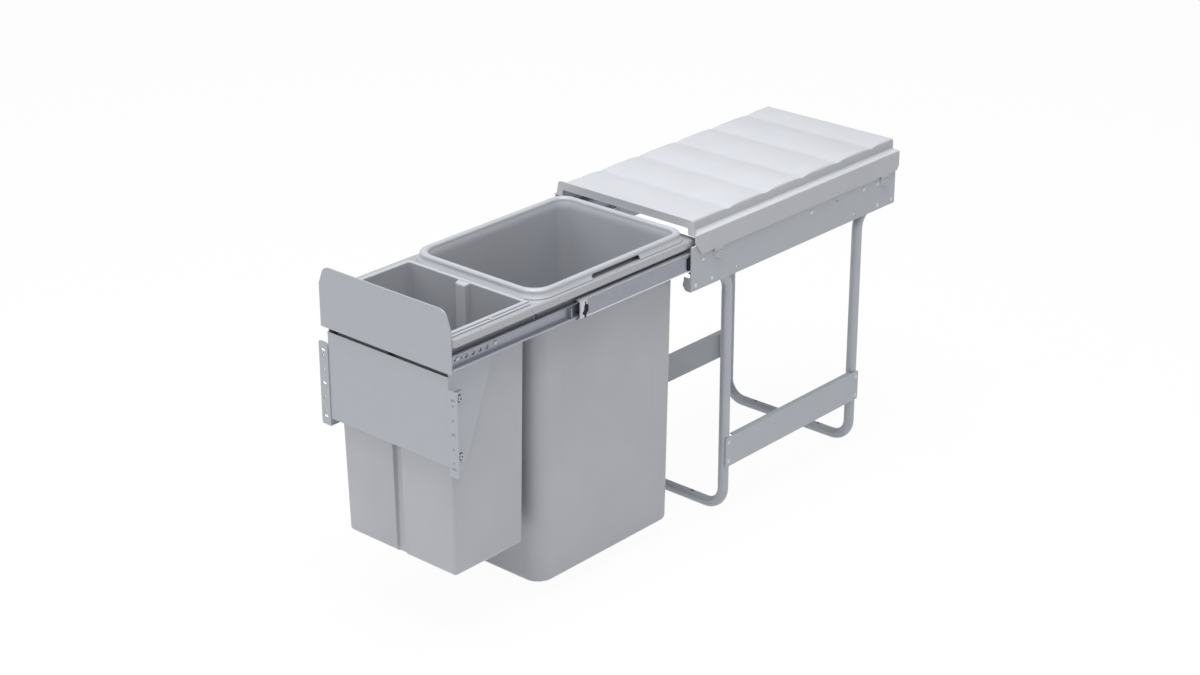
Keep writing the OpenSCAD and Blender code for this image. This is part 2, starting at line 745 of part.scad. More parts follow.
module panel_nuts() {
    color("Gainsboro") for (x = stud_x) for (z = stud_z) difference() {
        translate([x, carrier_front + carrier_t + hole_gap + nut_h, z]) rotate([90, 0, 0])
            cylinder(h = nut_h, r = nut_r, $fn = 6);
        bar_y(carrier_front, carrier_t + nut_h + 2, stud_r + hole_gap, x, z);
    }
}

// Door plate, folded back into a gusset on each side
module door_plate() {
    color("LightSteelBlue") difference() {
        union() {
            translate([-gusset_x, door_front, door_plate_bottom]) cube([2 * gusset_x, sheet_t, door_plate_h]);
            for (side = [-1, 1]) on_side(side) along_x(gusset_x - sheet_t, sheet_t) polygon([
                [door_front, door_plate_bottom], [door_front + gusset_foot, door_plate_bottom],
                [door_front + gusset_head, gusset_top], [door_front + 2, gusset_top],
                [door_front + 2, door_top], [door_front, door_top]]);
        }
        for (side = [-1, 1]) on_side(side) {
            for (y = door_rivets)
                bar_x(gusset_x - sheet_t - 1, sheet_t + 2, rivet_r + hole_gap, y, carrier_rivet_z);
            for (z = bolt_z) bar_x(gusset_x - sheet_t - 1, sheet_t + 2, bolt_r + hole_gap, bolt_y, z);
        }
    }
}

// Angle that the cabinet door is screwed to, with upright slots for its height
module door_bracket(side) {
    low = bracket_z - bracket_h / 2;
    front_centre = (bracket_side + bracket_edge) / 2;
    color("LightSteelBlue") on_side(side) difference() {
        union() {
            along_y(bracket_front, sheet_t) translate([(bracket_in + bracket_edge) / 2, bracket_z])
                polygon(round_rect(bracket_edge - bracket_in, bracket_h, 3));
            along_x(bracket_in, sheet_t) polygon(concat(
                [[bracket_front, low + bracket_side_h], [bracket_front, low]],
                arc([bracket_front + bracket_depth - bracket_round, low + bracket_round],
                    bracket_round, 270, 360),
                arc([bracket_front + bracket_depth - bracket_round, low + bracket_side_h - bracket_round],
                    bracket_round, 0, 90)));
        }
        for (i = [-1:1]) along_y(bracket_front - 1, sheet_t + 2)
            translate([front_centre, bracket_z + i * bracket_slot_pitch]) slot(slot_len, slot_h);
        for (v = [-1, 1]) for (k = [0.5, 1])
            bar_y(bracket_front - 1, sheet_t + 2, bracket_hole_d / 2, front_centre,
                  bracket_z + v * k * bracket_hole_pitch);
        for (z = bolt_z) along_x(bracket_in - 1, sheet_t + 2) translate([bolt_y, z]) rotate([0, 0, 90])
            slot(2 * (bolt_r + bracket_adjust) + 2 * slip, 2 * (bolt_r + slip));
    }
}

module slot(length, width) {
    square([length - width, width], center = true);
    for (x = [-1, 1] * (length - width) / 2) translate([x, 0]) circle(d = width, $fn = fine);
}

module bracket_bolts() {
    thread_end = gusset_x - sheet_t - nut_h - bolt_end;
    color("Gainsboro") for (side = [-1, 1]) on_side(side) for (z = bolt_z) difference() {
        union() {
            bar_x(thread_end, bracket_side + slip + 0.5 - thread_end, bolt_r, bolt_y, z);
            bar_x(bracket_side + slip, bolt_head_h, bolt_head_r, bolt_y, z);
        }
        translate([bracket_side + slip + 1, bolt_y, z]) rotate([0, 90, 0])
            cylinder(h = bolt_head_h, r = bolt_socket_r, $fn = 6);
    }
}

module bracket_nuts() {
    color("Gainsboro") for (side = [-1, 1]) on_side(side) for (z = bolt_z) difference() {
        translate([gusset_x - sheet_t - hole_gap - nut_h, bolt_y, z]) rotate([0, 90, 0])
            cylinder(h = nut_h, r = nut_r, $fn = 6);
        bar_x(gusset_x - sheet_t - nut_h - 2, nut_h + 3, bolt_r + hole_gap, bolt_y, z);
    }
}

// Skin over outlines of equal count, from the outside of the floor up, over the rim and down inside
module skin(rings) {
    n = len(rings[0]);
    m = len(rings);
    mids = [for (ring = [rings[0], rings[m - 1]]) [0, (ring[0][1] + ring[floor(n / 2)][1]) / 2, ring[0][2]]];
    sides = [for (j = [0:m - 2]) for (i = [0:n - 1])
        let (a = j * n + i, b = j * n + (i + 1) % n) each [[a, b + n, b], [a, a + n, b + n]]];
    floors = [for (i = [0:n - 1]) each [
        [m * n, i, (i + 1) % n], [m * n + 1, (m - 1) * n + (i + 1) % n, (m - 1) * n + i]]];
    polyhedron(points = concat([for (ring = rings) for (p = ring) p], mids), faces = concat(sides, floors));
}

function lift(outline, y, z) = [for (p = outline) [p[0], p[1] + y, z]];

// Large bin: each level is how far it stands out from the wall under the rim, and its height
function large_ring(out, z) =
    lift(bin_rect(bin_top_w + 2 * out, large_len + 2 * out, large_back_r + 0.5 * out,
                  large_front_r + 0.3 * out), large_mid, z);

module large_bin() {
    skirt = large_skirt_gap + large_skirt_t;
    low = -bin_taper;
    rim_under = large_rim_top - 4;
    outside = concat(
        [for (a = [0:30:90]) [low - foot_r * (1 - sin(a)), large_bottom + foot_r * (1 - cos(a))]],
        [[0, rim_under - large_neck], [large_flare, rim_under], [large_skirt_gap, rim_under], [large_skirt_gap, rim_seat], [skirt, rim_seat]]);
    rim = arc([skirt - large_round, large_rim_top - large_round], large_round, 0, 90, 4);
    rim_in = arc([large_flare + large_round - bin_wall, large_rim_top - large_round], large_round, 90, 180, 4);
    inside = concat(
        [[-bin_wall, rim_under - large_neck]],
        [for (a = [90:-30:0]) [low - bin_wall - (foot_r - 2) * (1 - sin(a)),
                               large_bottom + bin_wall + (foot_r - 2) * (1 - cos(a))]]);
    color("Silver") difference() {
        skin([for (p = concat(outside, rim, rim_in, inside)) large_ring(p[0], p[1])]);
        for (side = [-1, 1]) on_side(side)
            along_x(bin_top_w / 2 + 0.5, skirt + 1) translate([large_mid + grip_shift, rim_seat]) polygon(concat(
                [[-grip_w / 2, -1], [grip_w / 2, -1]],
                arc([grip_w / 2 - grip_r, grip_h - grip_r], grip_r, 0, 90),
                arc([grip_r - grip_w / 2, grip_h - grip_r], grip_r, 90, 180)));
    }
}

// Outline with an upright channel of depth d in the middle of the front and the back
function channel_rect(w, l, r, gap, d) =
    let (half = gap / 2, slope = 1.5)
    concat(
        arc([w / 2 - r, l / 2 - r], r, 0, 90),
        [[half, l / 2], [half - slope, l / 2 - d], [slope - half, l / 2 - d], [-half, l / 2]],
        arc([r - w / 2, l / 2 - r], r, 90, 180),
        arc([r - w / 2, r - l / 2], r, 180, 270),
        [[-half, -l / 2], [slope - half, d - l / 2], [half - slope, d - l / 2], [half, -l / 2]],
        arc([w / 2 - r, r - l / 2], r, 270, 360));

// Small bin: a level is how far it stands out at the sides and at the ends, the channel and the height
function small_ring(side_out, end_out, r, gap, d, z) =
    lift(channel_rect(bin_top_w + 2 * side_out, small_len + 2 * end_out, r, gap, d), small_mid, z);

module small_bin() {
    low = -bin_taper;
    low_end = -small_draft_len;
    r = small_corner_r;
    r_in = r - bin_wall;
    wide = channel_w + 2 * bin_wall;
    top = rim_seat + small_rim_h;
    channel_top = rim_seat - 4;
    rings = concat(
        [for (a = [0:30:90]) let (in = foot_r * (1 - sin(a)))
            small_ring(low - in, low_end - in, r - in / 2, channel_w, channel_foot * sin(a),
                       small_bottom + foot_r * (1 - cos(a)))],
        [small_ring(-0.1, -0.1, r, channel_w, channel_d, channel_top - 2),
         small_ring(-0.1, -0.1, r, channel_w, 0, channel_top),
         small_ring(0, 0, r, channel_w, 0, rim_seat),
         small_ring(small_flange, small_rim_end, r, channel_w, 0, rim_seat),
         small_ring(small_flange, small_rim_end, r, channel_w, 0, rim_seat + small_flange_t),
         small_ring(small_rim, small_rim_end - 0.1, r - 2, channel_w, 0, rim_seat + small_flange_t),
         small_ring(small_rim, small_rim_end - 0.1, r - 2, channel_w, 0, top - 0.6),
         small_ring(small_rim - 0.6, small_rim_end - 0.7, r - 2, channel_w, 0, top),
         small_ring(-bin_wall + 0.6, -bin_wall + 0.6, r_in, wide, 0, top),
         small_ring(-bin_wall, -bin_wall, r_in, wide, 0, top - 0.6),
         small_ring(-bin_wall - 0.1, -bin_wall - 0.1, r_in, wide, 0, channel_top + bin_wall),
         small_ring(-bin_wall - 0.1, -bin_wall - 0.1, r_in, wide, channel_d, channel_top + bin_wall - 2)],
        [for (a = [90:-30:0]) let (in = (foot_r - 2) * (1 - sin(a)) + bin_wall)
            small_ring(low - in, low_end - in, r_in - (in - bin_wall) / 2, wide, channel_foot * sin(a),
                       small_bottom + bin_wall + (foot_r - 2) * (1 - cos(a)))]);
    color("Silver") union() {
        skin(rings);
        for (side = [-1, 1]) on_side(side)
            translate([bin_top_w / 2 + small_flange - nub_r - 0.5, small_mid, rim_seat + small_flange_t / 2])
                cylinder(h = small_flange_t / 2 + nub_h, r = nub_r, $fn = fine);
    }
}

side_plate(-1);  // side_plate_left
side_plate(1);  // side_plate_right
front_leg_tube();
rear_leg_tube();
brace(-1);  // brace_left
brace(1);  // brace_right
leg_rivets();
brace_rivets();
slide_outer(-1);  // slide_outer_left
slide_outer(1);  // slide_outer_right
slide_rivets();
slide_bumpers();
lid_cover();
slide_mid(-1);  // slide_mid_left
slide_mid(1);  // slide_mid_right
mid_catch(-1);  // mid_catch_left
mid_catch(1);  // mid_catch_right
ball_cage(-1, row_a, cage_wide, outer_cage_front);  // cage_outer_left
ball_cage(1, row_a, cage_wide, outer_cage_front);  // cage_outer_right
ball_cage(-1, row_b, cage_narrow, inner_cage_front);  // cage_inner_left
ball_cage(1, row_b, cage_narrow, inner_cage_front);  // cage_inner_right
balls(-1, row_a, outer_cage_front);  // balls_outer_left
balls(1, row_a, outer_cage_front);  // balls_outer_right
balls(-1, row_b, inner_cage_front);  // balls_inner_left
balls(1, row_b, inner_cage_front);  // balls_inner_right
slide_inner(-1);  // slide_inner_left
slide_inner(1);  // slide_inner_right
carrier_frame();
carrier_rivets();
handle_panel();
panel_nuts();
door_plate();
door_bracket(-1);  // door_bracket_left
door_bracket(1);  // door_bracket_right
bracket_bolts();
bracket_nuts();
large_bin();
small_bin();
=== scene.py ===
# Pull-out waste bin frame: its finishes, shaped bins and lid lip, small turned solids, and the studio
import json
import math

import bmesh
import bpy
from mathutils import Matrix, Vector


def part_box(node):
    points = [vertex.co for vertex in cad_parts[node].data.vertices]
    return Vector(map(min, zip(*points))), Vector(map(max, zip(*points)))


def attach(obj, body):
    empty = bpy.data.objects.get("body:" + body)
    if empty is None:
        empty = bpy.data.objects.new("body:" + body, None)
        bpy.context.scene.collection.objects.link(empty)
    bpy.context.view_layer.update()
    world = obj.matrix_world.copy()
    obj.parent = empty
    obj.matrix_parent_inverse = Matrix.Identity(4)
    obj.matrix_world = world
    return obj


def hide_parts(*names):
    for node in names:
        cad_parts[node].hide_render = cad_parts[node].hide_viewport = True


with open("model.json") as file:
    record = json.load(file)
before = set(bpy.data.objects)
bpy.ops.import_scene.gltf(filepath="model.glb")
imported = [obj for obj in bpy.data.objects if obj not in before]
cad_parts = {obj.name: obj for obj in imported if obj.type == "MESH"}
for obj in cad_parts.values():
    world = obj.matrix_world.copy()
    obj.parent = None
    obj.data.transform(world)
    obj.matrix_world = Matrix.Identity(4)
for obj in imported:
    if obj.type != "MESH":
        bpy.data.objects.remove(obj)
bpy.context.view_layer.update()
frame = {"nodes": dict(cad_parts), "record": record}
nodes = frame["nodes"]

# Sizes and places are in millimetres, and this turns them into the scene's metres
MM = 0.001
X, Y, Z = 0, 1, 2


# Lowest and highest corners of a node at rest
def box_of(node):
    return [[round(place / MM, 2) for place in corner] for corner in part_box(node)]


# Middle of a node along one axis
def middle(node, axis):
    low, high = box_of(node)
    return (low[axis] + high[axis]) / 2


# The same value for the left and the right one of each pair
def for_both(values):
    return {name + "_" + end: value for name, value in values.items() for end in ("left", "right")}


# Places that several pieces and finishes follow
PLATE_FRONT = box_of("side_plate_right")[0][Y]
SLIDE_MID = middle("slide_mid_right", Z)
LARGE_MID = middle("large_bin", Y)
SMALL_MID = middle("small_bin", Y)
RIM_GAP = 0.3
RIM_SEAT = box_of("carrier_frame")[1][Z] + RIM_GAP

# Walls of both bins: thickness, how far they draw in down to the foot, and the radii of the foot
WALL = 2.2
BIN_TAPER = 5.0
FOOT = 7.0
INNER_FOOT = FOOT - 2

# Width of the broken edges of a node
COMMON_EDGE = 0.25
EDGE = {"lid_cover": 0.6, "handle_panel": 0.6, "door_plate": 0.5, "carrier_frame": 0.3}
EDGE |= for_both({"side_plate": 0.3, "brace": 0.4, "slide_mid": 0.45, "slide_inner": 0.45, "mid_catch": 0.1})

# Finish of a node where it isn't the plain one of its slot
FINISH = {"carrier_frame": "carrier_coat"}
FINISH |= {kind: "rivet_coat" for kind in ("leg_rivets", "brace_rivets", "slide_rivets")}
FINISH |= for_both({"slide_mid": "mid_zinc", "slide_inner": "inner_zinc"})

# Height of the spread tail of each kind of rivet
RIVET_TAILS = {"leg_rivets": 2.5, "brace_rivets": 2.5, "slide_rivets": 0.4, "carrier_rivets": 0.8}

# Sockets of a Mix node that mixes colours
MIX_FACTOR, MIX_FIRST, MIX_SECOND, MIX_RESULT = 0, 6, 7, 2
WHITE = (1.0, 1.0, 1.0, 1.0)


# A new object in the scene
def add_object(name, data):
    thing = bpy.data.objects.new(name, data)
    bpy.context.scene.collection.objects.link(thing)
    return thing


# Camera of the photograph, placed from the front of the side plates
def add_camera():
    right = Vector((0.74660, 0.66528, 0.0)).normalized()
    back = Vector((0.61054, -0.68518, 0.39720)).normalized()
    up = back.cross(right).normalized()
    roll = math.radians(-0.105)
    tilted_right = right * math.cos(roll) + up * math.sin(roll)
    tilted_up = up * math.cos(roll) - right * math.sin(roll)
    eye_x, eye_y, eye_z = 2.02362, -2.31322, 1.59527
    place = Matrix((tilted_right, tilted_up, back)).transposed().to_4x4()
    place.translation = Vector((eye_x, eye_y + PLATE_FRONT * MM, eye_z))
    data = bpy.data.cameras.new("camera")
    data.lens = 72.556
    data.sensor_width = 36.0
    data.clip_end = 50.0
    camera = add_object("camera", data)
    camera.matrix_world = place
    bpy.context.scene.camera = camera


# Materials

# A material of one colour, with its tree and its shader
def shader_of(name, colour, roughness, metallic=0.0):
    material = bpy.data.materials.new(name)
    material.use_nodes = True
    shader = material.node_tree.nodes["Principled BSDF"]
    shader.inputs["Base Color"].default_value = (*colour, 1.0)
    shader.inputs["Roughness"].default_value = roughness
    shader.inputs["Metallic"].default_value = metallic
    return material, material.node_tree, shader


# Noise with about this many waves in a metre, drawn out along an axis whose stretch is small
def noise(tree, scale, stretch=(1.0, 1.0, 1.0), detail=3.0):
    place = tree.nodes.new("ShaderNodeTexCoord")
    mapping = tree.nodes.new("ShaderNodeMapping")
    mapping.inputs["Scale"].default_value = stretch
    texture = tree.nodes.new("ShaderNodeTexNoise")
    texture.inputs["Scale"].default_value = scale
    texture.inputs["Detail"].default_value = detail
    tree.links.new(place.outputs["Object"], mapping.inputs["Vector"])
    tree.links.new(mapping.outputs["Vector"], texture.inputs["Vector"])
    return texture.outputs["Fac"]


# The middle of a noise, where nearly all of it lies, spread from one value to another
def spread(tree, value, low, high):
    noise_low, noise_high = 0.3, 0.7
    ramp = tree.nodes.new("ShaderNodeMapRange")
    ramp.inputs["From Min"].default_value = noise_low
    ramp.inputs["From Max"].default_value = noise_high
    ramp.inputs["To Min"].default_value = low
    ramp.inputs["To Max"].default_value = high
    tree.links.new(value, ramp.inputs["Value"])
    return ramp.outputs["Result"]


# A colour made darker or lighter
def shade(colour, factor):
    return tuple(c * factor for c in colour)


# Colour that wanders by this share to the dark and to the light
def mottle(tree, shader, value, colour, share):
    mix = tree.nodes.new("ShaderNodeMix")
    mix.data_type = "RGBA"
    mix.inputs[MIX_FIRST].default_value = (*shade(colour, 1 - share), 1.0)
    mix.inputs[MIX_SECOND].default_value = (*shade(colour, 1 + share), 1.0)
    tree.links.new(spread(tree, value, 0.0, 1.0), mix.inputs[MIX_FACTOR])
    tree.links.new(mix.outputs[MIX_RESULT], shader.inputs["Base Color"])


# Roughness that wanders a little below and above its plain value
def vary_roughness(tree, shader, value, roughness, below, above):
    wandering = spread(tree, value, roughness - below, roughness + above)
    tree.links.new(wandering, shader.inputs["Roughness"])


# Relief of this height
def bump(tree, shader, value, height):
    node = tree.nodes.new("ShaderNodeBump")
    node.inputs["Distance"].default_value = height * MM
    node.inputs["Strength"].default_value = 1.0
    tree.links.new(value, node.inputs["Height"])
    tree.links.new(node.outputs["Normal"], shader.inputs["Normal"])


# Powder coat: fine metallic specks and an orange peel of this depth
def powder_coat(name, colour, roughness=0.42, peel=0.03):
    specks, patches, dimples = 2600.0, 60.0, 700.0
    material, tree, shader = shader_of(name, colour, roughness, metallic=0.25)
    mottle(tree, shader, noise(tree, specks, detail=1.0), colour, share=0.06)
    vary_roughness(tree, shader, noise(tree, patches), roughness, below=0.04, above=0.05)
    bump(tree, shader, noise(tree, dimples, detail=2.0), peel)
    return material


# Zinc plate: rolling marks along the strip and soft patches
def zinc_plate(name, colour, roughness):
    patches, marks, mark_depth = 60.0, 900.0, 0.02
    along_strip = (1.0, 0.012, 1.0)
    material, tree, shader = shader_of(name, colour, roughness, metallic=0.6)
    mottle(tree, shader, noise(tree, patches), colour, share=0.04)
    lines = noise(tree, marks, along_strip, detail=2.0)
    vary_roughness(tree, shader, lines, roughness, below=0.04, above=0.06)
    bump(tree, shader, lines, mark_depth)
    return material


# One where the surface is within half a width of one of these places along an axis, else nought
def near_places(tree, axis, places, half):
    place = tree.nodes.new("ShaderNodeTexCoord")
    split = tree.nodes.new("ShaderNodeSeparateXYZ")
    tree.links.new(place.outputs["Object"], split.inputs["Vector"])
    total = None
    for along in places:
        near = tree.nodes.new("ShaderNodeMath")
        near.operation = "COMPARE"
        near.inputs[1].default_value = along * MM
        near.inputs[2].default_value = half * MM
        tree.links.new(split.outputs[axis], near.inputs[0])
        if total is not None:
            both = tree.nodes.new("ShaderNodeMath")
            both.operation = "MAXIMUM"
            tree.links.new(total, both.inputs[0])
            tree.links.new(near.outputs["Value"], both.inputs[1])
            near = both
        total = near.outputs["Value"]
    return total


# Fine raised lines where the halves of a mould meet, at these places along Y
def mould_lines(tree, shader, places):
    height, half_width = 0.15, 0.4
    node = tree.nodes.new("ShaderNodeBump")
    node.inputs["Distance"].default_value = height * MM
    tree.links.new(near_places(tree, "Y", places, half_width), node.inputs["Height"])
    tree.links.new(shader.inputs["Normal"].links[0].from_socket, node.inputs["Normal"])
    tree.links.new(node.outputs["Normal"], shader.inputs["Normal"])


# Painted highlights along the folds of a rolled strip, at these heights: a lighter band of colour stands in
# for the light the rounded bends catch
def painted_fold_highlights(material, heights, half, colour):
    tree = material.node_tree
    shader = tree.nodes["Principled BSDF"]
    mix = tree.nodes.new("ShaderNodeMix")
    mix.data_type = "RGBA"
    tree.links.new(shader.inputs["Base Color"].links[0].from_socket, mix.inputs[MIX_FIRST])
    mix.inputs[MIX_SECOND].default_value = (*colour, 1.0)
    tree.links.new(near_places(tree, "Z", heights, half), mix.inputs[MIX_FACTOR])
    tree.links.new(mix.outputs[MIX_RESULT], shader.inputs["Base Color"])
    return material


# Moulded plastic with a fine even grain
def moulded(name, colour, roughness, lines=(), gloss=0.5):
    clouds, patches, grain, grain_depth = 12.0, 35.0, 1500.0, 0.02
    material, tree, shader = shader_of(name, colour, roughness)
    shader.inputs["Specular IOR Level"].default_value = gloss
    mottle(tree, shader, noise(tree, clouds), colour, share=0.03)
    vary_roughness(tree, shader, noise(tree, patches), roughness, below=0.04, above=0.04)
    bump(tree, shader, noise(tree, grain, detail=2.0), grain_depth)
    if lines:
        mould_lines(tree, shader, lines)
    return material


# Every finish, under the name of its material slot or a name that FINISH gives
def make_materials():
    zinc, zinc_rough = (0.34, 0.355, 0.41), 0.42
    mid_slide = zinc_plate("zinc middle slide", zinc, zinc_rough)
    # Painted light: the inner slide has the same zinc made lighter, standing in for the brighter light on
    # its face
    inner_slide = zinc_plate("zinc inner slide", shade(zinc, 1.12), zinc_rough)
    # Heights of the painted highlight bands along the folds of the middle and inner slides
    mid_folds = (SLIDE_MID - 11.3, SLIDE_MID + 13.4)
    inner_folds = (SLIDE_MID - 9.8,)
    bin_seams = (LARGE_MID - 87, LARGE_MID + 90)
    return {
        "coated_steel": powder_coat("silver powder coat", (0.44, 0.46, 0.50)),
        "carrier_coat": powder_coat("smooth powder coat", (0.43, 0.44, 0.47), 0.3, peel=0.004),
        "rivet_coat": powder_coat("coated rivet head", (0.62, 0.64, 0.68), 0.3, peel=0.01),
        "zinc_steel": zinc_plate("zinc plate", zinc, zinc_rough),
        # Both slides get painted highlights, lighter bands of colour, along their folds
        "mid_zinc": painted_fold_highlights(mid_slide, mid_folds, half=1.2, colour=(0.78, 0.79, 0.83)),
        "inner_zinc": painted_fold_highlights(inner_slide, inner_folds, half=0.9, colour=(0.62, 0.63, 0.68)),
        "fasteners": zinc_plate("zinc-plated fastener", (0.56, 0.57, 0.60), 0.3),
        "ball_steel": zinc_plate("bearing steel", (0.78, 0.78, 0.80), 0.12),
        # Painted light: the lid plastic is lighter than the bin plastic, standing in for the stronger light
        # from above on the lid
        "lid_plastic": moulded("lid plastic", (0.51, 0.522, 0.558), 0.5),
        "bin_plastic": moulded("bin plastic", (0.44, 0.453, 0.49), 0.32, lines=bin_seams),
        "black_plastic": moulded("black plastic", (0.006, 0.006, 0.007), 0.45, gloss=0.2),
        "cage_plastic": moulded("cage plastic", (0.72, 0.72, 0.68), 0.4),
    }


# Meshes

# The mesh of a bmesh, which is freed
def mesh_of(bm, name):
    mesh = bpy.data.meshes.new(name)
    bm.to_mesh(mesh)
    bm.free()
    return mesh


# The mesh of an object with its modifier applied; the object goes
def applied(host):
    bpy.context.view_layer.update()
    mesh = bpy.data.meshes.new_from_object(host.evaluated_get(bpy.context.evaluated_depsgraph_get()))
    bpy.data.objects.remove(host)
    return mesh


# Smooth faces, but for edges sharper than the limit
def smooth_by_angle(mesh):
    limit = math.radians(32.0)
    bm = bmesh.new()
    bm.from_mesh(mesh)
    for face in bm.faces:
        face.smooth = True
    for edge in bm.edges:
        edge.smooth = len(edge.link_faces) == 2 and edge.calc_face_angle(0.0) < limit
    bm.to_mesh(mesh)
    bm.free()


# The valleys across the top of the lid stay crisp
def crisp_valleys(mesh):
    upward_z, valley = 0.95, math.radians(8.0)
    bm = bmesh.new()
    bm.from_mesh(mesh)
    for edge in bm.edges:
        upward = len(edge.link_faces) == 2 and all(face.normal.z > upward_z for face in edge.link_faces)
        if upward and edge.calc_face_angle(0.0) > valley:
            edge.smooth = False
    bm.to_mesh(mesh)
    bm.free()


# The same mesh with the normals of its flat faces carried out to their broken edges
def even_normals(mesh):
    host = add_object("even", mesh)
    modifier = host.modifiers.new("even", "WEIGHTED_NORMAL")
    modifier.mode = "FACE_AREA"
    modifier.keep_sharp = True
    even = applied(host)
    bpy.data.meshes.remove(mesh)
    return even


# Points along an arc, with its ends in degrees
def arc(cx, cy, radius, start, end, steps):
    turns = [math.radians(start + (end - start) * i / steps) for i in range(steps + 1)]
    return [(cx + radius * math.cos(a), cy + radius * math.sin(a)) for a in turns]


# How far a quarter round has still to go in, and how far it has come up, at each step round it
def round_steps(radius, steps=6):
    turns = [math.radians(90 * i / steps) for i in range(steps + 1)]
    return [(radius * (1 - math.sin(a)), radius * (1 - math.cos(a))) for a in turns]


# Rounded rectangle, anticlockwise; notch lists places and depths across the middle of both ends
def corner_rect(half_w, half_l, back, front, steps, notch=()):
    points = arc(half_w - back, half_l - back, back, 0, 90, steps)
    points += [(x, half_l - d) for x, d in notch]
    points += arc(back - half_w, half_l - back, back, 90, 180, steps)
    points += arc(front - half_w, front - half_l, front, 180, 270, steps)
    points += [(-x, d - half_l) for x, d in notch]
    points += arc(half_w - front, front - half_l, front, 270, 360, steps)
    return points


# A flat outline moved back to its middle and up to its height
def lift(points, mid, z):
    return [(x, y + mid, z) for x, y in points]


# Closed rings of equal count, joined into one skin with a fan over each end
def skin(rings):
    bm = bmesh.new()
    loops = [[bm.verts.new(Vector(p) * MM) for p in ring] for ring in rings]
    count = len(loops[0])
    for low, high in zip(loops, loops[1:]):
        for i in range(count):
            j = (i + 1) % count
            bm.faces.new((low[i], low[j], high[j], high[i]))
    for loop in (loops[0], loops[-1]):
        centre = bm.verts.new(sum((v.co for v in loop), Vector()) / count)
        for i in range(count):
            bm.faces.new((loop[i], loop[(i + 1) % count], centre))
    bmesh.ops.recalc_face_normals(bm, faces=bm.faces)
    return bm


# Closed solid with this outline in Y and Z, from one X to another
def prism(bm, outline, from_x, to_x):
    ends = [[bm.verts.new(Vector((x, y, z)) * MM) for y, z in outline] for x in (from_x, to_x)]
    for loop in ends:
        bm.faces.new(loop)
    for i in range(len(outline)):
        j = (i + 1) % len(outline)
        bm.faces.new((ends[0][i], ends[0][j], ends[1][j], ends[1][i]))
    bmesh.ops.recalc_face_normals(bm, faces=bm.faces)


# Turned solid about the X axis, from the places and radii of its outline
def lathe(outline):
    segments = 24
    bm = bmesh.new()
    turns = [2 * math.pi * k / segments for k in range(segments)]
    rings = []
    for x, radius in outline:
        if radius == 0:
            rings.append([bm.verts.new((x * MM, 0, 0))])
            continue
        round_it = [(x, radius * math.cos(a), radius * math.sin(a)) for a in turns]
        rings.append([bm.verts.new(Vector(point) * MM) for point in round_it])
    for low, high in zip(rings, rings[1:]):
        for i in range(segments):
            j = (i + 1) % segments
            corners = [low[i % len(low)], low[j % len(low)], high[j % len(high)], high[i % len(high)]]
            bm.faces.new(list(dict.fromkeys(corners)))
    bmesh.ops.recalc_face_normals(bm, faces=bm.faces)
    return bm


# Pieces

# The body that carries a node
def body_of_node(node):
    for name, members in frame["record"]["behaviour"]["bodies"].items():
        if node in members:
            return name


# A piece that stands for a node
def add_piece(name, mesh, node, material):
    mesh.materials.clear()
    mesh.materials.append(material)
    piece = add_object(name, mesh)
    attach(piece, body_of_node(node))
    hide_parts(node)
    return piece


# Raised lip round the front opening of the lid, standing out past the crown's sides
def lid_lip(bm):
    front, thick = box_of("lid_cover")[0][Y] + 0.02, 2.6
    outer_x, top, outer_r, splay = 121.3, 464.9, 5.0, 3.2
    inner_x, under, inner_r = 113.2, 453.4, 3.0
    foot, steps = 444.4, 8
    outer = [(outer_x + splay, foot)]
    outer += arc(outer_x - outer_r, top - outer_r, outer_r, 0, 90, steps)
    outer += arc(outer_r - outer_x, top - outer_r, outer_r, 90, 180, steps)
    outer += [(-outer_x - splay, foot)]
    inner = [(inner_x, foot)]
    inner += arc(inner_x - inner_r, under - inner_r, inner_r, 0, 90, steps)
    inner += arc(inner_r - inner_x, under - inner_r, inner_r, 90, 180, steps)
    inner += [(-inner_x, foot)]
    back = front + thick
    lines = ((outer, front), (outer, back), (inner, back), (inner, front))
    rings = [[bm.verts.new(Vector((x, y, z)) * MM) for x, z in line] for line, y in lines]
    for a, b in zip(rings, rings[1:] + rings[:1]):
        for i in range(len(a) - 1):
            bm.faces.new((a[i], a[i + 1], b[i + 1], b[i]))
    for i in (0, -1):
        bm.faces.new([ring[i] for ring in rings])
    bmesh.ops.recalc_face_normals(bm, faces=bm.faces)


# A copy of a node whose edges are broken as the real sheet's and mouldings' are
def finished(node, width, material):
    same, sliver = 0.01 * MM, 0.002 * MM
    flat, fold = math.radians(1.0), math.radians(40)
    mesh = nodes[node].data.copy()
    bm = bmesh.new()
    bm.from_mesh(mesh)
    if node == "lid_cover":
        lid_lip(bm)
    bmesh.ops.remove_doubles(bm, verts=bm.verts, dist=same)
    bmesh.ops.dissolve_limit(bm, angle_limit=flat, verts=bm.verts, edges=bm.edges)
    sharp = [e for e in bm.edges if len(e.link_faces) == 2 and e.calc_face_angle(0.0) > fold]
    bmesh.ops.bevel(bm, geom=sharp, offset=width * MM, offset_type="OFFSET", segments=2, profile=0.5,
                    affect="EDGES", clamp_overlap=True)
    bmesh.ops.remove_doubles(bm, verts=bm.verts, dist=sliver)
    bm.to_mesh(mesh)
    bm.free()
    smooth_by_angle(mesh)
    if node == "lid_cover":
        crisp_valleys(mesh)
    return add_piece(node + "_finished", even_normals(mesh), node, material)


# Flat plate of this outline in Y and Z, from one X to another, as a piece of its own
def flat_piece(name, outline, from_x, to_x, body, material):
    bm = bmesh.new()
    prism(bm, outline, from_x, to_x)
    plate = add_object(name, mesh_of(bm, name))
    plate.data.materials.append(material)
    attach(plate, body)


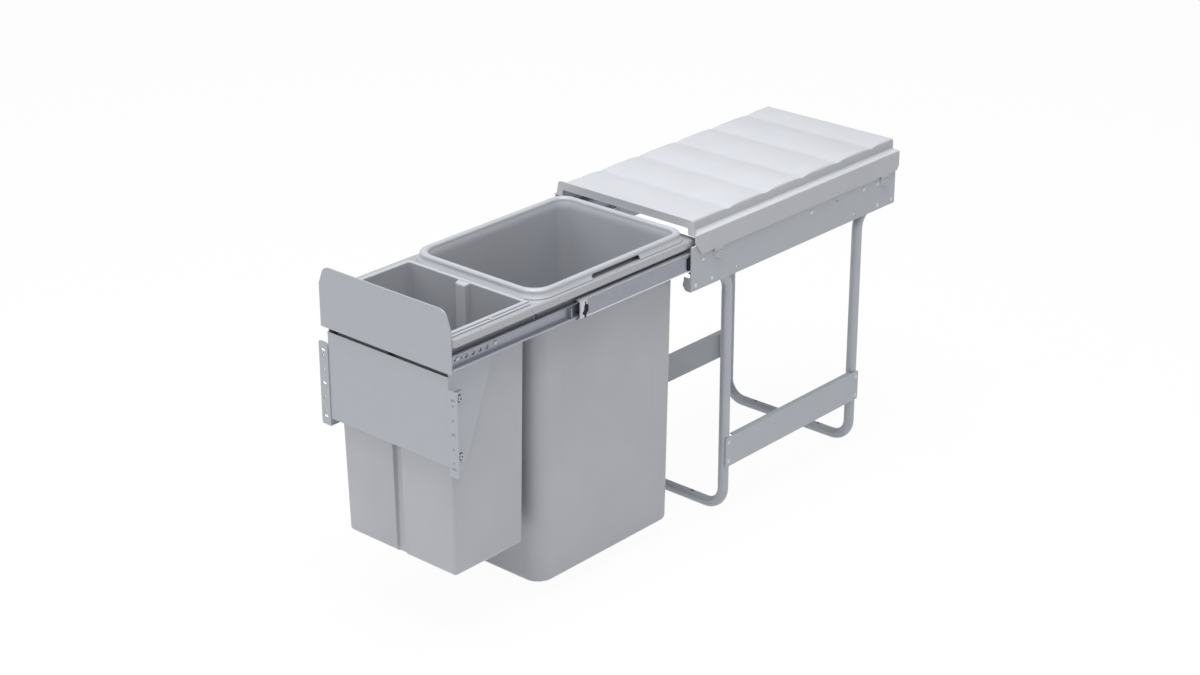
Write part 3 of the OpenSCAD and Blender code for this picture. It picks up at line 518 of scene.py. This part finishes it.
# Release catch at the front end of a middle slide: a pressed cover and the plastic lever over it,
# thin enough to pass inside the bumper on the outer slide's end
def release_catch(side, end, cover_material, lever_material):
    body = body_of_node("mid_catch_" + end)
    low, high = box_of("slide_mid_" + end)
    front = low[Y]
    face = max(-low[X], high[X])
    cover_in, cover_out = face - 0.05, face + 0.03
    lever_in, lever_out = face, face + 0.07
    # Places in both outlines are from the slide's front end and from its mid-height
    cover = [(0.3, 12.2), (1.4, 7.0), (1.8, 2.0), (1.1, -3.5), (0.1, -7.5), (0.3, -11.6), (14.5, -11.6)]
    cover += [(14.5, 12.2)]
    lever = arc(11.1, 8.0, 1.5, -60, 240, 12)
    lever += [(9.8, 5.6), (8.6, 4.4), (8.4, -0.8), (6.4, -3.4), (5.2, -4.8), (5.4, -6.8)]
    lever += [(7.8, -7.6), (8.8, -9.4), (8.6, -11.4), (9.8, -12.6), (11.6, -12.2), (12.4, -9.6)]
    lever += [(14.4, -6.2), (16.4, -4.6), (16.6, 3.4), (14.8, 5.2), (12.6, 5.8)]
    cover = [(front + y, SLIDE_MID + z) for y, z in cover]
    lever = [(front + y, SLIDE_MID + z) for y, z in lever]
    flat_piece("catch_cover_" + end, cover, side * cover_in, side * cover_out, body, cover_material)
    flat_piece("catch_lever_" + end, lever, side * lever_in, side * lever_out, body, lever_material)


# Large bin: each level is how far it stands out from the wall under the rim, and its height
def large_bin(material):
    back_r, front_r, steps, rows = 17.0, 25.5, 14, 6
    # Skirt: its gap to the wall, its thickness and how far it splays out at its hem
    gap, thick, splay = 7.0, 2.0, 3.2
    # Rim: the radius of its crest, how far the wall flares into it, and the height of that neck
    roll, flare, neck = 4.2, 2.0, 6.0
    low, high = box_of("large_bin")
    half_w = high[X] - gap - thick
    half_l = (high[Y] - low[Y]) / 2 - gap - thick
    bottom, top = low[Z], high[Z]
    under = top - 4.0
    foot_top = bottom + FOOT
    inner_low = bottom + WALL + INNER_FOOT
    hem = gap + splay + thick

    def ring(out, z):
        outline = corner_rect(half_w + out, half_l + out, back_r + 0.5 * out, front_r + 0.3 * out, steps)
        return lift(outline, LARGE_MID, z)

    # Outside, up from the foot to the neck under the rim
    levels = [(-BIN_TAPER - i, bottom + u) for i, u in round_steps(FOOT)]
    wall_h = under - neck - foot_top
    levels += [(-BIN_TAPER * (1 - i / rows), foot_top + wall_h * i / rows) for i in range(1, rows)]
    levels += [(-0.2, under - neck - 1), (0.3, under - neck + 1), (1.2, under - 2.4), (flare, under)]
    # Skirt, down inside and up outside
    levels += [(gap - 0.5, under), (gap, under - 0.5), (gap + splay, RIM_SEAT + 0.3)]
    levels += [(gap + splay + 0.4, RIM_SEAT), (hem - 0.5, RIM_SEAT)]
    levels += [(hem, RIM_SEAT + 0.5), (hem - 0.4 * splay, RIM_SEAT + 2.4)]
    levels += [(hem - 0.8 * splay, RIM_SEAT + 4.6), (gap + thick, RIM_SEAT + 6.4)]
    # Rolled crest
    levels += arc(gap + thick - roll, top - roll, roll, 0, 90, 8)
    levels += arc(flare + roll - WALL, top - roll, roll, 90, 180, 8)
    # Inside, down to the floor
    levels += [(flare - WALL - 0.3, top - roll - 2), (-WALL + 0.9, under - 4)]
    levels += [(-WALL + 0.1, under - neck - 4), (-WALL - 0.2, under - neck - 8)]
    inner_h = under - inner_low
    levels += [(-WALL - BIN_TAPER * i / rows, under - inner_h * i / rows) for i in range(1, rows)]
    levels += [(-BIN_TAPER - WALL - i, bottom + WALL + u) for i, u in reversed(round_steps(INNER_FOOT))]
    walls = skin([ring(out, z) for out, z in levels])
    shell = add_object("large_bin_shell", mesh_of(walls, "large_bin_shell"))
    # Grips cut through the skirt under the rim, one on each side
    half_grip, grip_h, grip_r, past = 46.5, 6.6, 4.0, 2
    grip_mid = LARGE_MID + 3
    outline = arc(half_grip - grip_r, grip_h - grip_r, grip_r, 0, 90, 8)
    outline += arc(grip_r - half_grip, grip_h - grip_r, grip_r, 90, 180, 8)
    outline += [(-half_grip, -past), (half_grip, -past)]
    outline = [(grip_mid + y, RIM_SEAT + z) for y, z in outline]
    bm = bmesh.new()
    for side in (1, -1):
        prism(bm, outline, side * (half_w + past), side * (half_w + hem + past))
    cutter = add_object("grip_cut", mesh_of(bm, "grip_cut"))
    cut = shell.modifiers.new("grips", "BOOLEAN")
    cut.object = cutter
    cut.solver = "EXACT"
    mesh = applied(shell)
    bpy.data.objects.remove(cutter)
    smooth_by_angle(mesh)
    return add_piece("large_bin_shell", mesh, "large_bin", material)


# Small bin, with an upright channel in its front and its back: a groove outside and a ridge inside
def small_bin(material):
    corner, end_taper, steps = 5.0, 4.8, 8
    # How far the flange and the rim stand out at the sides, and both of them at the ends
    flange, rim, end = 8.5, 4.0, 4.6
    # Channel: its width, its depth, and its depth at the foot
    channel, depth, foot_depth = 16.0, 9.0, 4.0
    groove_edge, ridge_edge = 0.8, 3.0
    low, high = box_of("small_bin")
    half_w = high[X] - flange
    half_l = (high[Y] - low[Y]) / 2 - end
    bottom, top = low[Z], high[Z]
    groove_top = RIM_SEAT - 0.6
    ridge_top = top - 1.2
    inner_r = corner - WALL
    rim_r = corner - 2

    def ring(side_out, end_out, radius, d, z, inside=False):
        half = channel / 2 + (WALL if inside else 0)
        edge = ridge_edge if inside else groove_edge
        notch = [(half + 0.5, 0.0), (half - 0.1, 0.08 * d)]
        notch += [(half - 1 - u, d * (1 - i / depth)) for i, u in round_steps(edge, 3)]
        notch += [(-x, y) for x, y in reversed(notch)]
        outline = corner_rect(half_w + side_out, half_l + end_out, radius, radius, steps, notch)
        return lift(outline, SMALL_MID, z)

    # Outside, up from the foot to the flange
    rings = [ring(-BIN_TAPER - i, -end_taper - i, corner - i / 2, foot_depth * (1 - i / FOOT), bottom + u)
             for i, u in round_steps(FOOT)]
    rings += [ring(-0.2, -0.2, corner, depth, groove_top - 3),
              ring(-0.1, -0.1, corner, depth * 0.8, groove_top - 1),
              ring(-0.1, -0.1, corner, 0, groove_top),
              ring(0, 0, corner, 0, RIM_SEAT - 0.5),
              ring(0.5, 0.5, corner, 0, RIM_SEAT)]
    # Flange
    rings += [ring(flange - 0.3, end - 0.3, corner, 0, RIM_SEAT),
              ring(flange, end, corner, 0, RIM_SEAT + 0.3),
              ring(flange, end, corner, 0, RIM_SEAT + 1.0),
              ring(flange - 0.3, end - 0.3, corner, 0, RIM_SEAT + 1.3)]
    # Groove beside the rim, and the rim
    rings += [ring(rim + 2.4, end - 0.3, rim_r, 0, RIM_SEAT + 1.3),
              ring(rim + 2.1, end - 0.3, rim_r, 0, RIM_SEAT + 0.6),
              ring(rim + 0.2, end - 0.4, rim_r, 0, RIM_SEAT + 0.6),
              ring(rim, end - 0.4, rim_r, 0, RIM_SEAT + 0.8),
              ring(rim, end - 0.4, rim_r, 0, top - 0.9),
              ring(rim - 0.3, end - 0.7, rim_r, 0, top - 0.3),
              ring(rim - 0.9, end - 1.3, rim_r, 0, top)]
    # Inside, down past the top of the ridge to the floor
    rings += [ring(out - WALL, out - WALL, inner_r, 0, top - down, inside=True)
              for out, down in ((0.9, 0), (0.3, 0.3), (0, 0.9))]
    rings += [ring(-WALL - 0.1, -WALL - 0.1, inner_r, 0, ridge_top, inside=True)]
    rings += [ring(-WALL - 0.1, -WALL - 0.1, inner_r, depth - i, ridge_top - u, inside=True)
              for i, u in round_steps(ridge_edge, 3)]
    rings += [ring(-BIN_TAPER - WALL - i, -end_taper - WALL - i, inner_r - i / 2,
                   foot_depth * (1 - i / INNER_FOOT), bottom + WALL + u, inside=True)
              for i, u in reversed(round_steps(INNER_FOOT))]
    bm = skin(rings)
    # Moulded stud on each side of the flange
    stud_r, stud_h, stud_draft, inset = 2.4, 1.2, 0.2, 0.5
    for side in (1, -1):
        stud_x = side * (half_w + flange - stud_r - inset)
        centre = Vector((stud_x, SMALL_MID, RIM_SEAT + 1 + stud_h / 2))
        bmesh.ops.create_cone(bm, cap_ends=True, segments=32, radius1=stud_r * MM,
                              radius2=(stud_r - stud_draft) * MM, depth=stud_h * MM,
                              matrix=Matrix.Translation(centre * MM))
    mesh = mesh_of(bm, "small_bin_shell")
    smooth_by_angle(mesh)
    return add_piece("small_bin_shell", mesh, "small_bin", material)


# Small repeated solids

# Boxes of the loose solids of a node
def islands(node):
    same = 0.005 * MM
    bm = bmesh.new()
    bm.from_mesh(nodes[node].data)
    bmesh.ops.remove_doubles(bm, verts=bm.verts, dist=same)
    seen = set()
    boxes = []
    for start in bm.verts:
        if start in seen:
            continue
        seen.add(start)
        group = [start]
        for vert in group:
            for edge in vert.link_edges:
                other = edge.other_vert(vert)
                if other not in seen:
                    seen.add(other)
                    group.append(other)
        spans = [[v.co[i] for v in group] for i in range(3)]
        boxes.append((Vector([min(c) for c in spans]), Vector([max(c) for c in spans])))
    bm.free()
    return boxes


# Nodes that put one small solid on every point, turned by the point's own turn
def scatter_tree():
    tree = bpy.data.node_groups.new("set out", "GeometryNodeTree")
    tree.interface.new_socket("Geometry", in_out="OUTPUT", socket_type="NodeSocketGeometry")
    inputs = {"Geometry": "Geometry", "Piece": "Object", "Size": "Float", "Finish": "Material"}
    for label, kind in inputs.items():
        tree.interface.new_socket(label, in_out="INPUT", socket_type="NodeSocket" + kind)
    start = tree.nodes.new("NodeGroupInput")
    end = tree.nodes.new("NodeGroupOutput")
    info = tree.nodes.new("GeometryNodeObjectInfo")
    turn = tree.nodes.new("GeometryNodeInputNamedAttribute")
    turn.data_type = "FLOAT_VECTOR"
    turn.inputs["Name"].default_value = "turn"
    place = tree.nodes.new("GeometryNodeInstanceOnPoints")
    realize = tree.nodes.new("GeometryNodeRealizeInstances")
    finish = tree.nodes.new("GeometryNodeSetMaterial")
    tree.links.new(start.outputs["Geometry"], place.inputs["Points"])
    tree.links.new(start.outputs["Piece"], info.inputs["Object"])
    tree.links.new(info.outputs["Geometry"], place.inputs["Instance"])
    tree.links.new(turn.outputs["Attribute"], place.inputs["Rotation"])
    tree.links.new(start.outputs["Size"], place.inputs["Scale"])
    tree.links.new(place.outputs["Instances"], realize.inputs["Geometry"])
    tree.links.new(realize.outputs["Geometry"], finish.inputs["Geometry"])
    tree.links.new(start.outputs["Finish"], finish.inputs["Material"])
    tree.links.new(finish.outputs["Geometry"], end.inputs["Geometry"])
    return tree


# One mesh with a copy of the small solid at every place
def set_out(bm, places, material, tree):
    piece = add_object("piece", mesh_of(bm, "piece"))
    smooth_by_angle(piece.data)
    points = bpy.data.meshes.new("places")
    points.from_pydata([tuple(place) for place, turn in places], [], [])
    turns = points.attributes.new("turn", "FLOAT_VECTOR", "POINT")
    for item, (place, turn) in zip(turns.data, places):
        item.vector = (0.0, 0.0, turn)
    host = add_object("places", points)
    modifier = host.modifiers.new("set out", "NODES")
    modifier.node_group = tree
    values = {"Piece": piece, "Size": 1.0, "Finish": material}
    for socket in tree.interface.items_tree:
        if socket.in_out == "INPUT" and socket.name in values:
            modifier[socket.identifier] = values[socket.name]
    mesh = applied(host)
    bpy.data.objects.remove(piece)
    return mesh


# One mesh out of several, which go
def joined(meshes, name):
    bm = bmesh.new()
    for mesh in meshes:
        bm.from_mesh(mesh)
        bpy.data.meshes.remove(mesh)
    return mesh_of(bm, name)


# The outer end of each solid of a node, its turn, and the solid's length
def outer_ends(node):
    found = []
    for low, high in islands(node):
        right = low.x + high.x > 0
        place = Vector((high.x if right else low.x, (low.y + high.y) / 2, (low.z + high.z) / 2))
        found.append((place, 0.0 if right else math.pi, round((high.x - low.x) / MM, 2)))
    return found


# Domed rivet with its head outside and its tail spread inside
def rivet(length, tail_h):
    shank, head_r, head_h, tail_r = 2.0, 3.4, 1.3, 2.9
    turns = [math.radians(a) for a in range(75, -1, -15)]
    back = tail_h - length
    outline = [(0, 0)]
    outline += [(head_h * (math.sin(a) - 1), head_r * math.cos(a)) for a in turns]
    outline += [(-head_h, shank), (back, shank), (back, tail_r), (back - tail_h / 2, tail_r)]
    outline += [(back - tail_h, tail_r * 0.8), (back - tail_h, 0)]
    return lathe(outline)


# Button head with a socket, on a shank with the ridges of its thread
def bolt(length):
    head_h, shank, ridge, ridges, plain = 2.6, 2.5, 0.18, 24, 3.0
    outline = [(-1.6, 0), (-1.6, 1.7), (-0.1, 1.7), (0, 1.9), (-0.15, 2.6), (-0.8, 3.35), (-1.5, 3.6)]
    outline += [(-2.5, 3.6), (-head_h, 3.5), (-head_h, shank)]
    pitch = (length - plain) / ridges
    outline += [(-head_h - i * pitch, shank - ridge * (i % 2)) for i in range(1, ridges + 1)]
    outline += [(-length, 2.1), (-length, 0)]
    return lathe(outline)


# All the rivets of a node, one form for each length
def rivets(node, material, tree):
    ends = outer_ends(node)
    meshes = []
    for length in sorted({end[2] for end in ends}):
        places = [end[:2] for end in ends if end[2] == length]
        meshes.append(set_out(rivet(length, RIVET_TAILS[node]), places, material, tree))
    return add_piece(node + "_domed", joined(meshes, node), node, material)


# All the bolts of a node, which have one length
def bolts(node, material, tree):
    ends = outer_ends(node)
    mesh = set_out(bolt(ends[0][2]), [end[:2] for end in ends], material, tree)
    return add_piece(node + "_turned", mesh, node, material)


# All the balls of a node
def balls(node, material, tree):
    ball_r = 1.75
    places = [((low + high) / 2, 0.0) for low, high in islands(node)]
    bm = bmesh.new()
    bmesh.ops.create_icosphere(bm, subdivisions=2, radius=ball_r * MM)
    mesh = set_out(bm, places, material, tree)
    return add_piece(node + "_set", mesh, node, material)


# Studio

# Floor that takes the object's shadow and looks nearly white to the camera and in reflections
def add_stage():
    half_size, drop = 12.0, 0.0005
    grey, white_share = 0.84, 0.96
    bm = bmesh.new()
    bmesh.ops.create_grid(bm, x_segments=1, y_segments=1, size=half_size)
    floor = add_object("floor", mesh_of(bm, "floor"))
    floor.location = (0.0, 0.0, -drop)
    material, tree, shader = shader_of("floor", (grey, grey, grey), 0.8)
    shader.inputs["Specular IOR Level"].default_value = 0.1
    glow = tree.nodes.new("ShaderNodeEmission")
    glow.inputs["Color"].default_value = WHITE
    path = tree.nodes.new("ShaderNodeLightPath")
    share = tree.nodes.new("ShaderNodeMath")
    share.operation = "MULTIPLY"
    share.inputs[1].default_value = white_share
    seen = tree.nodes.new("ShaderNodeMath")
    seen.operation = "MAXIMUM"
    mix = tree.nodes.new("ShaderNodeMixShader")
    tree.links.new(path.outputs["Is Camera Ray"], seen.inputs[0])
    tree.links.new(path.outputs["Is Glossy Ray"], seen.inputs[1])
    tree.links.new(seen.outputs["Value"], share.inputs[0])
    tree.links.new(share.outputs["Value"], mix.inputs["Fac"])
    tree.links.new(shader.outputs["BSDF"], mix.inputs[1])
    tree.links.new(glow.outputs["Emission"], mix.inputs[2])
    tree.links.new(mix.outputs["Shader"], tree.nodes["Material Output"].inputs["Surface"])
    floor.data.materials.append(material)


# Soft light from all round, with plain white behind the object
def add_world(strength):
    world = bpy.data.worlds.new("studio")
    bpy.context.scene.world = world
    world.use_nodes = True
    tree = world.node_tree
    soft = tree.nodes["Background"]
    soft.inputs["Color"].default_value = WHITE
    soft.inputs["Strength"].default_value = strength
    white = tree.nodes.new("ShaderNodeBackground")
    white.inputs["Color"].default_value = WHITE
    white.inputs["Strength"].default_value = 1.0
    path = tree.nodes.new("ShaderNodeLightPath")
    mix = tree.nodes.new("ShaderNodeMixShader")
    tree.links.new(path.outputs["Is Camera Ray"], mix.inputs["Fac"])
    tree.links.new(soft.outputs["Background"], mix.inputs[1])
    tree.links.new(white.outputs["Background"], mix.inputs[2])
    tree.links.new(mix.outputs["Shader"], tree.nodes["World Output"].inputs["Surface"])


# Square lamp of this side in metres and power in watts, turned to the target
def add_lamp(name, place, target, size, power):
    data = bpy.data.lights.new(name, "AREA")
    data.shape = "SQUARE"
    data.size = size
    data.energy = power
    lamp = add_object(name, data)
    lamp.location = place
    lamp.rotation_euler = (Vector(target) - Vector(place)).to_track_quat("-Z", "Y").to_euler()


add_camera()
materials = make_materials()
slots = {entry["node"]: entry["material_slot"] for entry in frame["record"]["subparts"]}
bins = {"large_bin": large_bin, "small_bin": small_bin}
scatter = scatter_tree()
for node in nodes:
    slot = slots[node]
    finish = materials[FINISH.get(node, slot)]
    if node in bins:
        bins[node](finish)
    elif node in RIVET_TAILS:
        rivets(node, finish, scatter)
    elif node == "bracket_bolts":
        bolts(node, finish, scatter)
    elif slot == "ball_steel":
        balls(node, finish, scatter)
    else:
        finished(node, EDGE.get(node, COMMON_EDGE), finish)

for side, end in ((-1, "left"), (1, "right")):
    release_catch(side, end, materials["fasteners"], materials["black_plastic"])

lit = (0.0, -0.3, 0.3)
add_stage()
add_world(strength=0.4)
add_lamp("top", (0.25, -0.7, 3.0), lit, size=2.0, power=89.0)
add_lamp("key", (-0.9, -3.2, 1.6), lit, size=1.6, power=14.0)
bpy.context.scene.view_settings.view_transform = "Standard"
